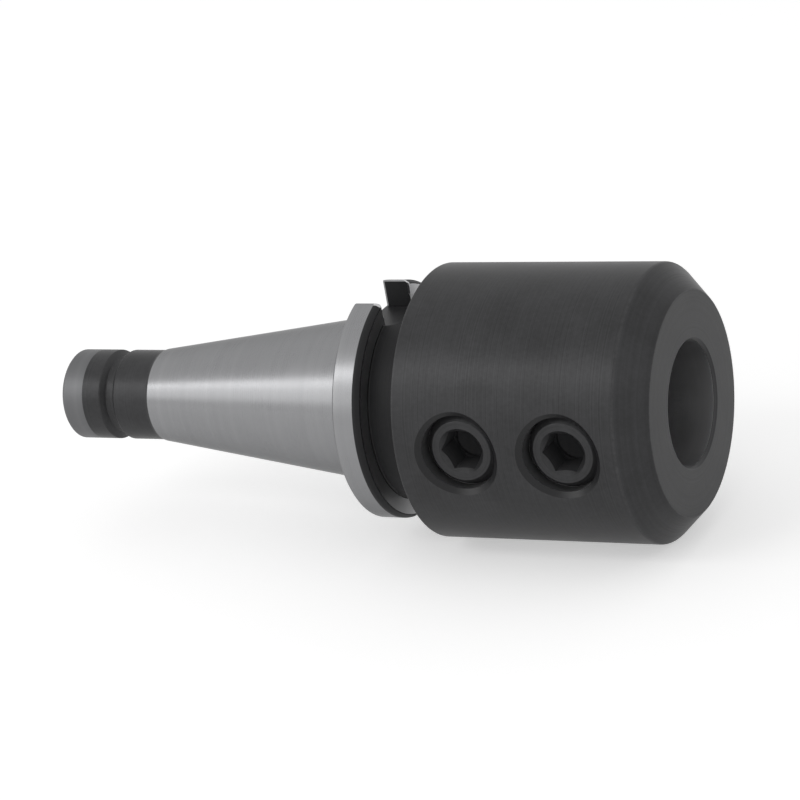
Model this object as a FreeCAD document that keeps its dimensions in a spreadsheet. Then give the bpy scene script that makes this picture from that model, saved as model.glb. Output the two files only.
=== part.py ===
import FreeCAD, Part
import os

import Sketcher

# Side lock end mill holder: a steep taper shank, a driving flange with two key slots and a
# cylindrical body that takes a plain shank, which two clamping screws hold from the side.
# The X axis is the tool's axis and points out of the nose.  The origin is the centre of the
# gauge plane, where the taper has its largest diameter.  The key slots lie at +Z and -Z and
# the clamping screws point to -Y.

DIMENSIONS = (
    # The shank
    ("gauge_radius", 22.225, "radius of the taper in the gauge plane"),
    ("taper_length", 65.4, "gauge plane to the small end of the taper"),
    ("taper_fall", 7, "loss of diameter on the taper, over taper_run"),
    ("taper_run", 24, "length on the axis that goes with taper_fall"),
    ("shank_length", 93.4, "gauge plane to the end of the pilot"),
    ("pilot_radius", 12.3, "cylinder behind the taper"),
    ("pilot_chamfer", 1.0, "edge of the pilot's end"),
    ("groove_from_end", 14.8, "end of the pilot to the middle of its groove"),
    ("groove_mouth", 4.6, "width of the pilot's groove at its edges"),
    ("groove_floor", 2.2, "width of the flat bottom of that groove"),
    ("groove_depth", 1.8, "radial depth of that groove"),
    # The drawbar hole in the pilot
    ("drawbar_core_radius", 6.9, "wall of the drawbar hole, the core of its thread"),
    ("drawbar_depth", 44.0, "end of the pilot to the end of the hole's full diameter"),
    ("counterbore_radius", 8.5, "plain mouth of the drawbar hole"),
    ("counterbore_depth", 5.0, "depth of that mouth"),
    ("centre_chamfer", 1.0, "bevel at the very mouth of the hole"),
    ("drill_point_slope", 0.6, "height of a drill point over its radius"),
    # The flange
    ("flange_setback", 1.6, "gauge plane to the back face of the flange"),
    ("relief_depth", 0.7, "grinding relief between the taper and the flange"),
    ("flange_radius", 31.5, "outside of the flange"),
    ("flange_thickness", 7.8, "back face to front face of the flange"),
    ("flange_front_bevel", 1.2, "bevel on the flange's front rim, along the axis"),
    ("flange_front_drop", 0.8, "the same bevel, across the axis"),
    ("flange_edge", 0.4, "broken edge of the flange's back rim"),
    ("slot_width", 16.1, "width of a driving slot"),
    ("slot_floor_height", 23.0, "axis to the floor of a driving slot"),
    # The neck and the body
    ("neck_radius", 26.0, "neck between the flange and the body"),
    ("neck_length", 9.4, "front face of the flange to the back of the body"),
    ("body_radius", 36.0, "outside of the body"),
    ("rear_bevel_length", 2.2, "bevel on the body's back rim, along the axis"),
    ("rear_bevel_drop", 5.0, "the same bevel, across the axis"),
    ("nose_bevel", 7.0, "bevel round the nose, equal both ways"),
    # The bore for the tool
    ("bore_radius", 16.0, "bore that takes the tool's shank"),
    ("bore_beyond_screws", 12.4, "axis of the rear screw to the end of the bore's full diameter"),
    ("bore_mouth_chamfer", 0.8, "bevel at the mouth of the bore"),
    ("bore_relief_width", 3.0, "grinding relief at the bottom of the bore"),
    ("bore_relief_depth", 0.4, "radial depth of that relief"),
    # The clamping screws and their holes
    ("front_screw_setback", 22.6, "nose face to the axis of the front screw"),
    ("rear_screw_setback", 19.2, "back of the body to the axis of the rear screw"),
    ("screw_pitch", 28.0, "front screw to rear screw"),
    ("screw_count", 2, "clamping screws in a row"),
    ("screw_hole_radius", 10.0, "wall of a screw hole"),
    ("hole_edge", 0.9, "bevel round the mouth of a screw hole"),
    ("thread_clearance", 0.07, "gap between a screw and the wall of its hole"),
    ("head_recess", 3.5, "outside of the body to the head of a screw that is backed off"),
    ("tip_setback", 0.5, "bore wall to the tip of such a screw"),
    ("tip_radius", 7.2, "flat tip that bears on the tool's shank"),
    ("tip_bevel", 1.6, "bevel above the tip, along the screw"),
    ("head_bevel", 1.9, "bevel round the head, equal both ways"),
    ("hexagon_width", 10.0, "socket across its flats"),
    ("socket_floor", 4.0, "point of the socket's drilled start to the tip"),
    ("broach_setback", 1.0, "end of the drilled start to the end of the hexagon"),
    ("socket_countersink", 0.5, "bevel at the mouth of the socket"),
)

SHEET = "Dimensions"
FULL_TURN = 360
CUT_MARGIN = 2.0
TOUCH = 0.01


class Length:
    """A size with the sheet expression that gives it, so that both are written once."""

    def __init__(self, amount, text):
        self.amount = float(amount)
        self.text = text

    def _joined(self, other, sign, amount):
        right = other.text if isinstance(other, Length) else str(other)
        return Length(amount, "({} {} {})".format(self.text, sign, right))

    def __add__(self, other):
        return self._joined(other, "+", self.amount + amount_of(other))

    def __sub__(self, other):
        return self._joined(other, "-", self.amount - amount_of(other))

    def __mul__(self, other):
        return self._joined(other, "*", self.amount * amount_of(other))

    def __truediv__(self, other):
        return self._joined(other, "/", self.amount / amount_of(other))

    def __neg__(self):
        return Length(-self.amount, "(-1 * {})".format(self.text))


def amount_of(value):
    """The number behind a Length or a plain number."""
    return value.amount if isinstance(value, Length) else value


def fill_sheet(document):
    """Write every driving size in a cell of its own and hand them back by name."""
    sheet = document.addObject("Spreadsheet::Sheet", SHEET)
    sizes = {}
    for row, (alias, amount, meaning) in enumerate(DIMENSIONS, start=1):
        sheet.set("A{}".format(row), alias)
        sheet.set("B{}".format(row), str(amount))
        sheet.set("C{}".format(row), meaning)
        sheet.setAlias("B{}".format(row), alias)
        sizes[alias] = Length(amount, "{}.{}".format(SHEET, alias))
    document.recompute()
    return sizes


def origin_part(body, role):
    """One of the planes or axes of a body's own origin."""
    return next(item for item in body.Origin.OriginFeatures if item.Role == role)


def new_body(document, name):
    """A body whose name and label are the same."""
    body = document.addObject("PartDesign::Body", name)
    body.Label = name
    return body


def new_sketch(body, name, plane, offset=None):
    """A sketch on one of the body's origin planes, moved by expressions along chosen axes."""
    sketch = body.newObject("Sketcher::SketchObject", name)
    sketch.AttachmentSupport = [(origin_part(body, plane), "")]
    sketch.MapMode = "FlatFace"
    for axis, distance in (offset or {}).items():
        sketch.setExpression("AttachmentOffset.Base.{}".format(axis), distance.text)
    return sketch


def tie(sketch, kind, geometry, point, distance):
    """Hold one coordinate of a point at a distance from the sketch's origin."""
    number = sketch.addConstraint(Sketcher.Constraint(kind, -1, 1, geometry, point, distance.amount))
    sketch.setExpression("Constraints[{}]".format(number), distance.text)


def draw_outline(sketch, corners):
    """A closed outline of straight lines through corners given as pairs of lengths."""
    points = [FreeCAD.Vector(along.amount, across.amount, 0) for along, across in corners]
    for start, end in zip(points, points[1:] + points[:1]):
        sketch.addGeometry(Part.LineSegment(start, end), False)
    count = len(points)
    for line in range(count):
        sketch.addConstraint(Sketcher.Constraint("Coincident", line, 2, (line + 1) % count, 1))
    for line, (along, across) in enumerate(corners):
        tie(sketch, "DistanceX", line, 1, along)
        tie(sketch, "DistanceY", line, 1, across)


def turn(body, kind, name, sketch, axis):
    """A full Revolution or Groove of a sketch about one of the sketch's own axes."""
    feature = body.newObject("PartDesign::{}".format(kind), name)
    feature.Profile = sketch
    feature.ReferenceAxis = (sketch, [axis])
    feature.Angle = FULL_TURN
    return feature


def pocket(body, name, sketch, depth, backwards):
    """A pocket of a bound depth; it cuts against the sketch's normal unless backwards."""
    feature = body.newObject("PartDesign::Pocket", name)
    feature.Profile = sketch
    feature.Type = "Length"
    feature.setExpression("Length", depth.text)
    feature.Reversed = backwards
    return feature


def hole_mouth_edges(shape, centres, hole, outside):
    """Names of the curved edges where holes of one radius come out of the body's outside."""
    names = []
    for number, edge in enumerate(shape.Edges, start=1):
        points = [edge.valueAt(place) for place in edge.ParameterRange]
        for centre in centres:
            on_hole = [abs(((p.x - centre.amount) ** 2 + p.z ** 2) ** 0.5 - hole.amount) < TOUCH
                       for p in points]
            on_body = [abs((p.y ** 2 + p.z ** 2) ** 0.5 - outside.amount) < TOUCH
                       for p in points]
            if all(on_hole) and all(on_body):
                names.append("Edge{}".format(number))
    return names


def chamfer(body, name, base, edges, size):
    """A Chamfer of a bound size on named edges of the feature before it."""
    if not edges:
        raise RuntimeError("{} finds no edge".format(name))
    feature = body.newObject("PartDesign::Chamfer", name)
    feature.Base = (base, edges)
    feature.setExpression("Size", size.text)
    return feature


def must_cut(document, feature, before):
    """Stop unless the new feature took material away from the one before it."""
    document.recompute()
    if not feature.Shape.Volume < before.Shape.Volume:
        raise RuntimeError("{} cuts nothing".format(feature.Name))
    return feature


def places_along_axis(sizes):
    """Positions on the tool's axis that several features share."""
    zero = sizes["gauge_radius"] * 0
    places = {
        "zero": zero,
        "shank_end": -sizes["shank_length"],
        "small_end": -sizes["taper_length"],
        "flange_back": sizes["flange_setback"],
        "flange_front": sizes["flange_setback"] + sizes["flange_thickness"],
    }
    screw_row = sizes["screw_pitch"] * (sizes["screw_count"] - 1)
    places["body_back"] = places["flange_front"] + sizes["neck_length"]
    places["rear_screw"] = places["body_back"] + sizes["rear_screw_setback"]
    places["front_screw"] = places["rear_screw"] + screw_row
    places["nose"] = places["front_screw"] + sizes["front_screw_setback"]
    places["bore_bottom"] = places["rear_screw"] - sizes["bore_beyond_screws"]
    return places


def holder_outline(sizes, places):
    """Half of the holder's turned outline, from the pilot's end to the nose and back."""
    zero = places["zero"]
    slope = sizes["taper_fall"] / sizes["taper_run"] / 2
    relief = sizes["gauge_radius"] - sizes["relief_depth"]
    return [
        (places["shank_end"], zero),
        (places["shank_end"], sizes["pilot_radius"] - sizes["pilot_chamfer"]),
        (places["shank_end"] + sizes["pilot_chamfer"], sizes["pilot_radius"]),
        (places["small_end"], sizes["pilot_radius"]),
        (places["small_end"], sizes["gauge_radius"] - sizes["taper_length"] * slope),
        (zero, sizes["gauge_radius"]),
        (zero, relief),
        (places["flange_back"], relief),
        (places["flange_back"], sizes["flange_radius"] - sizes["flange_edge"]),
        (places["flange_back"] + sizes["flange_edge"], sizes["flange_radius"]),
        (places["flange_front"] - sizes["flange_front_bevel"], sizes["flange_radius"]),
        (places["flange_front"], sizes["flange_radius"] - sizes["flange_front_drop"]),
        (places["flange_front"], sizes["neck_radius"]),
        (places["body_back"], sizes["neck_radius"]),
        (places["body_back"], sizes["body_radius"] - sizes["rear_bevel_drop"]),
        (places["body_back"] + sizes["rear_bevel_length"], sizes["body_radius"]),
        (places["nose"] - sizes["nose_bevel"], sizes["body_radius"]),
        (places["nose"], sizes["body_radius"] - sizes["nose_bevel"]),
        (places["nose"], zero),
    ]


def drawbar_outline(sizes, places):
    """Half section of the hole in the pilot: bevel, plain mouth, threaded part, drill point."""
    end = places["shank_end"]
    core = sizes["drawbar_core_radius"]
    step = sizes["counterbore_radius"] - core
    bottom = end + sizes["drawbar_depth"]
    return [
        (end, places["zero"]),
        (end, sizes["counterbore_radius"] + sizes["centre_chamfer"]),
        (end + sizes["centre_chamfer"], sizes["counterbore_radius"]),
        (end + sizes["counterbore_depth"], sizes["counterbore_radius"]),
        (end + sizes["counterbore_depth"] + step, core),
        (bottom, core),
        (bottom + core * sizes["drill_point_slope"], places["zero"]),
    ]


def bore_outline(sizes, places):
    """Half section of the tool's bore: bevel, ground wall, relief and drill point."""
    nose = places["nose"]
    wall = sizes["bore_radius"]
    bottom = places["bore_bottom"]
    relief = wall + sizes["bore_relief_depth"]
    return [
        (nose, places["zero"]),
        (nose, wall + sizes["bore_mouth_chamfer"]),
        (nose - sizes["bore_mouth_chamfer"], wall),
        (bottom + sizes["bore_relief_width"], wall),
        (bottom + sizes["bore_relief_width"], relief),
        (bottom, relief),
        (bottom, wall),
        (bottom - wall * sizes["drill_point_slope"], places["zero"]),
    ]


def groove_outline(sizes, places):
    """Section of the pilot's groove, a trapezium that opens outwards."""
    middle = places["shank_end"] + sizes["groove_from_end"]
    mouth = sizes["groove_mouth"] / 2
    floor = sizes["groove_floor"] / 2
    bottom = sizes["pilot_radius"] - sizes["groove_depth"]
    return [
        (middle - mouth, sizes["pilot_radius"]),
        (middle - floor, bottom),
        (middle + floor, bottom),
        (middle + mouth, sizes["pilot_radius"]),
    ]


def draw_slot(sketch, sizes, places):
    """Plan of a driving slot: open at the flange's back, with a milled round end in the neck."""
    half = sizes["slot_width"] / 2
    back = places["flange_back"] - CUT_MARGIN
    front = places["flange_front"]
    corners = [(front, -half), (back, -half), (back, half), (front, half)]
    points = [FreeCAD.Vector(along.amount, across.amount, 0) for along, across in corners]
    for start, end in zip(points, points[1:]):
        sketch.addGeometry(Part.LineSegment(start, end), False)
    tip = FreeCAD.Vector(front.amount + half.amount, 0, 0)
    arc = sketch.addGeometry(Part.Arc(points[0], tip, points[-1]), False)
    for line in range(arc - 1):
        sketch.addConstraint(Sketcher.Constraint("Coincident", line, 2, line + 1, 1))
    sketch.addConstraint(Sketcher.Constraint("Coincident", arc, 1, 0, 1))
    sketch.addConstraint(Sketcher.Constraint("Coincident", arc, 2, arc - 1, 2))
    for line, (along, across) in enumerate(corners[:-1]):
        tie(sketch, "DistanceX", line, 1, along)
        tie(sketch, "DistanceY", line, 1, across)
    tie(sketch, "DistanceX", arc - 1, 2, front)
    tie(sketch, "DistanceY", arc - 1, 2, half)
    tie(sketch, "DistanceX", arc, 3, front)


def draw_circle(sketch, radius):
    """A circle about the sketch's origin."""
    circle = Part.Circle(FreeCAD.Vector(0, 0, 0), FreeCAD.Vector(0, 0, 1), radius.amount)
    sketch.addGeometry(circle, False)
    sketch.addConstraint(Sketcher.Constraint("Coincident", 0, 3, -1, 1))
    number = sketch.addConstraint(Sketcher.Constraint("Radius", 0, radius.amount))
    sketch.setExpression("Constraints[{}]".format(number), radius.text)


def draw_hexagon(sketch, width, zero):
    """A hexagon about the sketch's origin with two corners on its horizontal axis."""
    corner = width / 3 ** 0.5
    near = corner / 2
    flat = width / 2
    draw_outline(sketch, [(corner, zero), (near, flat), (-near, flat),
                          (-corner, zero), (-near, -flat), (near, -flat)])


def turned_blank(document, body, sizes, places):
    """The holder as it leaves the lathe, with its groove and both holes on the axis."""
    outline = new_sketch(body, "holder_profile", "XY_Plane")
    draw_outline(outline, holder_outline(sizes, places))
    blank = turn(body, "Revolution", "turned_blank", outline, "H_Axis")
    document.recompute()
    cuts = (("pilot_groove", groove_outline), ("drawbar_hole", drawbar_outline),
            ("tool_bore", bore_outline))
    last = blank
    for name, section in cuts:
        sketch = new_sketch(body, "{}_profile".format(name), "XY_Plane")
        draw_outline(sketch, section(sizes, places))
        cut = turn(body, "Groove", name, sketch, "H_Axis")
        last = must_cut(document, cut, last)
    return last


def driving_slots(document, body, sizes, places, last):
    """Two driving slots opposite each other, milled to one floor height."""
    floor = sizes["slot_floor_height"]
    plan = new_sketch(body, "slot_plan", "XY_Plane", {"z": floor})
    draw_slot(plan, sizes, places)
    depth = sizes["flange_radius"] - floor + CUT_MARGIN
    upper = must_cut(document, pocket(body, "upper_slot", plan, depth, True), last)
    both = body.newObject("PartDesign::Mirrored", "both_slots")
    both.Originals = [upper]
    both.MirrorPlane = (origin_part(body, "XY_Plane"), [""])
    body.Tip = both
    return must_cut(document, both, upper)


def screw_holes(document, body, sizes, places, last):
    """The row of screw holes, from the bore out through the body's wall, at -Y."""
    plan = new_sketch(body, "screw_hole_plan", "XZ_Plane", {"x": places["front_screw"]})
    draw_circle(plan, sizes["screw_hole_radius"])
    depth = sizes["body_radius"] + CUT_MARGIN
    front = must_cut(document, pocket(body, "front_screw_hole", plan, depth, True), last)
    row = body.newObject("PartDesign::LinearPattern", "screw_hole_row")
    row.Originals = [front]
    row.Direction = (origin_part(body, "X_Axis"), [""])
    row.Reversed = True
    row.setExpression("Length", (sizes["screw_pitch"] * (sizes["screw_count"] - 1)).text)
    row.setExpression("Occurrences", sizes["screw_count"].text)
    body.Tip = row
    return must_cut(document, row, front)


def screw_places(sizes, places):
    """Positions on the tool's axis of the clamping screws, the front one first."""
    return [places["front_screw"] - sizes["screw_pitch"] * step
            for step in range(int(sizes["screw_count"].amount))]


def bevel_screw_holes(document, body, sizes, places, last):
    """Bevels on the mouths of the screw holes, even all round on the curved outside."""
    mouths = hole_mouth_edges(last.Shape, screw_places(sizes, places),
                              sizes["screw_hole_radius"], sizes["body_radius"])
    bevel = chamfer(body, "screw_hole_bevels", last, mouths, sizes["hole_edge"])
    return must_cut(document, bevel, last)


def make_holder(document, sizes, places):
    """The one-piece holder."""
    body = new_body(document, "holder_body")
    blank = turned_blank(document, body, sizes, places)
    slotted = driving_slots(document, body, sizes, places, blank)
    drilled = screw_holes(document, body, sizes, places, slotted)
    body.Tip = bevel_screw_holes(document, body, sizes, places, drilled)
    return body


def screw_ends(sizes):
    """Distances from the tool's axis to a screw's tip and head."""
    tip = sizes["bore_radius"] + sizes["tip_setback"]
    head = sizes["body_radius"] - sizes["head_recess"]
    return tip, head


def screw_outline(sizes, zero):
    """Half section of a clamping screw; its radius runs along X and its tip faces the bore."""
    thread = sizes["screw_hole_radius"] - sizes["thread_clearance"]
    tip, head = screw_ends(sizes)
    return [
        (zero, -tip),
        (sizes["tip_radius"], -tip),
        (thread, -(tip + sizes["tip_bevel"])),
        (thread, -(head - sizes["head_bevel"])),
        (thread - sizes["head_bevel"], -head),
        (zero, -head),
    ]


def socket_bottom(sizes):
    """Distance from the tool's axis to the end of the socket's drilled start."""
    point = sizes["hexagon_width"] / 2 * sizes["drill_point_slope"]
    return screw_ends(sizes)[0] + sizes["socket_floor"] + point


def socket_drill_outline(sizes, zero):
    """Half section of the socket's drilled start, with its countersink and drill point."""
    drill = sizes["hexagon_width"] / 2
    head = screw_ends(sizes)[1]
    bottom = socket_bottom(sizes)
    mouth = sizes["hexagon_width"] / 3 ** 0.5 + sizes["socket_countersink"] / 2
    return [
        (zero, -head),
        (mouth, -head),
        (drill, -(head - (mouth - drill))),
        (drill, -bottom),
        (zero, -(bottom - drill * sizes["drill_point_slope"])),
    ]


def make_screw(document, name, sizes, places, along):
    """A clamping screw with a hexagon socket, backed off clear of the bore."""
    body = new_body(document, name)
    zero = places["zero"]
    outline = new_sketch(body, "{}_profile".format(name), "XY_Plane")
    draw_outline(outline, screw_outline(sizes, zero))
    blank = turn(body, "Revolution", "{}_blank".format(name), outline, "V_Axis")
    document.recompute()
    start = new_sketch(body, "{}_socket_start".format(name), "XY_Plane")
    draw_outline(start, socket_drill_outline(sizes, zero))
    drilled = must_cut(document, turn(body, "Groove", "{}_drilling".format(name), start,
                                      "V_Axis"), blank)
    head = screw_ends(sizes)[1]
    depth = head - socket_bottom(sizes) - sizes["broach_setback"]
    plan = new_sketch(body, "{}_hexagon".format(name), "XZ_Plane", {"z": head})
    draw_hexagon(plan, sizes["hexagon_width"], zero)
    socket = pocket(body, "{}_socket".format(name), plan, depth, False)
    body.Tip = must_cut(document, socket, drilled)
    body.setExpression("Placement.Base.x", along.text)
    return body


def check_document(document, bodies):
    """Stop if any object failed or any sub-part isn't one valid solid."""
    for item in document.Objects:
        if "Invalid" in item.State or "Error" in item.State:
            raise RuntimeError("{} failed: {}".format(item.Name, item.State))
    for body in bodies:
        shape = body.Shape
        if shape.isNull() or not shape.isValid() or len(shape.Solids) != 1:
            raise RuntimeError("{} is not one valid solid".format(body.Label))


def main():
    """Build the document and write each sub-part to its own file."""
    os.makedirs("parts", exist_ok=True)
    document = FreeCAD.newDocument("side_lock_holder")
    sizes = fill_sheet(document)
    places = places_along_axis(sizes)
    bodies = [make_holder(document, sizes, places)]
    names = ("clamp_screw_front", "clamp_screw_rear")
    for name, along in zip(names, screw_places(sizes, places)):
        bodies.append(make_screw(document, name, sizes, places, along))
    document.recompute()
    check_document(document, bodies)
    for body in bodies:
        body.Shape.exportStep("parts/{}.step".format(body.Label))
        print("{}: {:.0f} mm3".format(body.Label, body.Shape.Volume))


main()
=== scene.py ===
"""Dress the side lock end mill holder: its steel, its clamping screws, its light and its camera.

Lengths are in metres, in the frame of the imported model.  X is the tool's axis and points out of
the nose, the driving slots lie at +Z and -Z, and the clamping screws point to -Y.
"""

import logging
import math
from collections.abc import Callable, Iterator
from contextlib import contextmanager
from dataclasses import dataclass
from enum import Enum

import bmesh
import bpy
from mathutils import Matrix, Vector


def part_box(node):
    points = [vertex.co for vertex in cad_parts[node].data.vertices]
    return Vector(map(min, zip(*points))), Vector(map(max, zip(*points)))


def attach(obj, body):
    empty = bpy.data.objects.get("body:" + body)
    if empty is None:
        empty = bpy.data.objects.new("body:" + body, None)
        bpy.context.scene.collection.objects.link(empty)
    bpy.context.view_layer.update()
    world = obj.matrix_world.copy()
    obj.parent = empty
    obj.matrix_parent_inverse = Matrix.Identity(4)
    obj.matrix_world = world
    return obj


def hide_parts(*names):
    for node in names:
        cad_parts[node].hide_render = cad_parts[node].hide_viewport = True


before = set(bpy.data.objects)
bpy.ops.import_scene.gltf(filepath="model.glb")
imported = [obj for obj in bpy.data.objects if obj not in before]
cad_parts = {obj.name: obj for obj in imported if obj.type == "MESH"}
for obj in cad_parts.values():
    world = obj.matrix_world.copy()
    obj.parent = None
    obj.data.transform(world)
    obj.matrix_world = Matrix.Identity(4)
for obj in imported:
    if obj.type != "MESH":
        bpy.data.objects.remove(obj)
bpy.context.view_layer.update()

MM = 0.001
FULL_TURN = 2 * math.pi
TOUCH = 0.004 * MM
SMOOTH_ANGLE = math.radians(40)
RING_SHIFT = 0.62
WHITE = (1.0, 1.0, 1.0, 1.0)

Colour = tuple[float, float, float]
Socket = bpy.types.NodeSocket
Piece = bpy.types.Object
Place = tuple[float, float, float]


# Tools of the bench


def clear_selection() -> None:
    """Leave edit mode and deselect everything."""
    if bpy.context.object and bpy.context.object.mode != "OBJECT":
        bpy.ops.object.mode_set(mode="OBJECT")
    bpy.ops.object.select_all(action="DESELECT")


def take(piece: Piece) -> None:
    """Make a piece the only selected one and the active one."""
    clear_selection()
    piece.select_set(True)
    bpy.context.view_layer.objects.active = piece


@contextmanager
def editing(piece: Piece, kind: str = "VERT") -> Iterator[None]:
    """Edit mode on one piece, with nothing of it selected at the start.

    Args:
        piece: the piece to edit.
        kind: VERT, EDGE or FACE, what is selected while it is edited.
    """
    take(piece)
    bpy.ops.object.mode_set(mode="EDIT")
    bpy.ops.mesh.select_mode(type=kind)
    bpy.ops.mesh.select_all(action="DESELECT")
    yield
    bpy.ops.object.mode_set(mode="OBJECT")


def pick_edges(piece: Piece, wanted: Callable[[Vector, Vector], bool]) -> None:
    """Select the edges whose two ends pass a test of place."""
    shape = bmesh.from_edit_mesh(piece.data)
    for edge in shape.edges:
        edge.select_set(wanted(edge.verts[0].co, edge.verts[1].co))
    bmesh.update_edit_mesh(piece.data)


def fix_place(piece: Piece) -> None:
    """Move a piece's place, turn and scale into its mesh."""
    take(piece)
    bpy.ops.object.transform_apply(location=True, rotation=True, scale=True)


def new_piece(name: str) -> Piece:
    """Name the primitive that was just added and put its place in its mesh."""
    piece = bpy.context.object
    piece.name = name
    piece.data.name = name
    fix_place(piece)
    return piece


def cut(piece: Piece, tool: Piece) -> None:
    """Take a closed tool's shape out of a piece and put the tool away."""
    take(piece)
    bpy.ops.object.modifier_add(type="BOOLEAN")
    step = piece.modifiers[-1]
    step.operation = "DIFFERENCE"
    step.solver = "MANIFOLD"
    step.object = tool
    bpy.ops.object.modifier_apply(modifier=step.name)
    bpy.data.objects.remove(tool, do_unlink=True)


def smooth(piece: Piece) -> None:
    """Shade curved faces smooth and let large faces keep their own direction."""
    take(piece)
    bpy.ops.object.shade_smooth_by_angle(angle=SMOOTH_ANGLE)
    bpy.ops.object.modifier_add(type="WEIGHTED_NORMAL")
    step = piece.modifiers[-1]
    step.mode = "FACE_AREA"
    step.weight = 100
    step.keep_sharp = True
    bpy.ops.object.modifier_apply(modifier=step.name)


@dataclass(frozen=True)
class Corner:
    """A corner of a turned outline.

    Attributes:
        along: place on the axis.
        radius: distance from the axis.
        edge: width of the rounding on the ring that the corner makes.
    """

    along: float
    radius: float
    edge: float = 0.0


def off_axis(place: Vector) -> float:
    """Distance of a place from the X axis."""
    return math.hypot(place.y, place.z)


def turn(name: str, outline: list[Corner], steps: int) -> Piece:
    """Turn a closed solid about X from half its outline, as on a lathe.

    Args:
        name: name of the new piece.
        outline: corners from one point on the axis to another.
        steps: flats round the full turn.

    Returns:
        The solid, with its rings rounded where the outline asks for it.
    """
    clear_selection()
    first = outline[0]
    bpy.ops.mesh.primitive_plane_add(size=MM, location=(first.along, 0.0, first.radius))
    piece = new_piece(name)
    with editing(piece):
        bpy.ops.mesh.select_all(action="SELECT")
        bpy.ops.mesh.merge(type="CENTER")
        for here, there in zip(outline, outline[1:]):
            step = (there.along - here.along, 0.0, there.radius - here.radius)
            bpy.ops.mesh.extrude_region_move(TRANSFORM_OT_translate={"value": step})
        bpy.ops.mesh.select_all(action="SELECT")
        bpy.ops.mesh.spin(steps=steps, angle=FULL_TURN, center=(0, 0, 0), axis=(1, 0, 0))
        bpy.ops.mesh.select_all(action="SELECT")
        bpy.ops.mesh.remove_doubles(threshold=TOUCH)
        bpy.ops.mesh.normals_make_consistent(inside=False)
    for width in sorted({corner.edge for corner in outline if corner.edge}):
        round_rings(piece, [corner for corner in outline if corner.edge == width])
    return piece


def round_rings(piece: Piece, corners: list[Corner]) -> None:
    """Round the rings that some corners of one edge width have made."""

    def on_a_ring(start: Vector, end: Vector) -> bool:
        """Whether an edge lies on the ring of one of the corners."""
        return any(all(abs(place.x - corner.along) < TOUCH and
                       abs(off_axis(place) - corner.radius) < TOUCH for place in (start, end))
                   for corner in corners)

    with editing(piece, "EDGE"):
        pick_edges(piece, on_a_ring)
        bpy.ops.mesh.bevel(offset=corners[0].edge, offset_type="OFFSET", segments=3,
                           profile=0.5, affect="EDGES", clamp_overlap=False)


@dataclass(frozen=True)
class Thread:
    """A metric thread about X.

    Attributes:
        crest: radius of the outer turns.
        root: radius of the inner turns.
        pitch: length of one turn.
        flat: width of the flat at the bottom of the groove.
        slope: half width gained for each length of depth, on one flank.
        steps: flats round one turn.
    """

    crest: float
    root: float
    pitch: float
    flat: float
    slope: float = math.tan(math.radians(30))
    steps: int = 72

    def groove(self, start: float, turns: int, internal: bool) -> Piece:
        """The shape that a threading tool takes away.

        Args:
            start: place on the axis of the middle of the groove's first turn.
            turns: whole turns of the groove.
            internal: whether the thread is in a hole, so that the groove narrows outwards.

        Returns:
            A closed helical bar about X.
        """
        spare = 0.02 * MM
        low = self.root - (spare if internal else 0.0)
        high = self.crest + (0.0 if internal else spare)
        wide = self.flat + 2 * self.slope * (high - low)
        clear_selection()
        bpy.ops.mesh.primitive_plane_add(size=1.0, location=(start, 0.0, (low + high) / 2),
                                         rotation=(math.pi / 2, 0.0, 0.0))
        bar = bpy.context.object
        bar.scale = (wide, high - low, 1.0)
        bar = new_piece("thread_groove")
        narrow_end = high if internal else low
        with editing(bar, "EDGE"):
            pick_edges(bar, lambda *ends: all(abs(end.z - narrow_end) < TOUCH for end in ends))
            bpy.ops.transform.resize(value=(self.flat / wide, 1.0, 1.0),
                                     center_override=(start, 0.0, narrow_end))
            bpy.ops.mesh.select_all(action="SELECT")
            bpy.ops.mesh.delete(type="ONLY_FACE")
        take(bar)
        bpy.ops.object.modifier_add(type="SCREW")
        step = bar.modifiers[-1]
        step.axis = "X"
        step.angle = FULL_TURN
        step.screw_offset = self.pitch
        step.iterations = turns
        step.steps = self.steps
        step.render_steps = self.steps
        bpy.ops.object.modifier_apply(modifier=step.name)
        with editing(bar):
            bpy.ops.mesh.select_all(action="SELECT")
            bpy.ops.mesh.remove_doubles(threshold=TOUCH / 4)
            bpy.ops.mesh.fill_holes(sides=4)
            bpy.ops.mesh.select_all(action="SELECT")
            bpy.ops.mesh.normals_make_consistent(inside=False)
        return bar


def flared_box(low: Place, high: Place, end: int, reach: float) -> Piece:
    """A box with one end made wider along Y, for breaking the two edges of a slot.

    Args:
        low: its lowest corner.
        high: its highest corner.
        end: which end flares: -1 or 1 for the ends along X, -3 or 3 for those along Z.
        reach: how much wider the flared end is, on each side.
    """
    sizes = [top - bottom for bottom, top in zip(low, high)]
    middle = [(top + bottom) / 2 for bottom, top in zip(low, high)]
    clear_selection()
    bpy.ops.mesh.primitive_cube_add(size=1.0, location=middle)
    bpy.context.object.scale = sizes
    box = new_piece("flared_box")
    axis = abs(end) - 1
    level = high[axis] if end > 0 else low[axis]
    with editing(box, "EDGE"):
        pick_edges(box, lambda *ends: all(abs(place[axis] - level) < TOUCH for place in ends))
        bpy.ops.transform.resize(value=(1.0, 1 + 2 * reach / sizes[1], 1.0),
                                 center_override=middle)
    return box


def face_sideways(piece: Piece, along: float) -> None:
    """Turn a piece built about X so that it points to -Y, at a place on the tool's axis."""
    turned = Matrix.Translation((along, 0.0, 0.0)) @ Matrix.Rotation(-math.pi / 2, 4, "Z")
    piece.matrix_world = turned
    fix_place(piece)


# Finishes, some of them darker or lighter copies of one coat as painted shade or painted light


class Axis(Enum):
    """The axis that a piece was turned about."""

    TOOL = "tool"
    SCREW = "screw"


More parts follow.
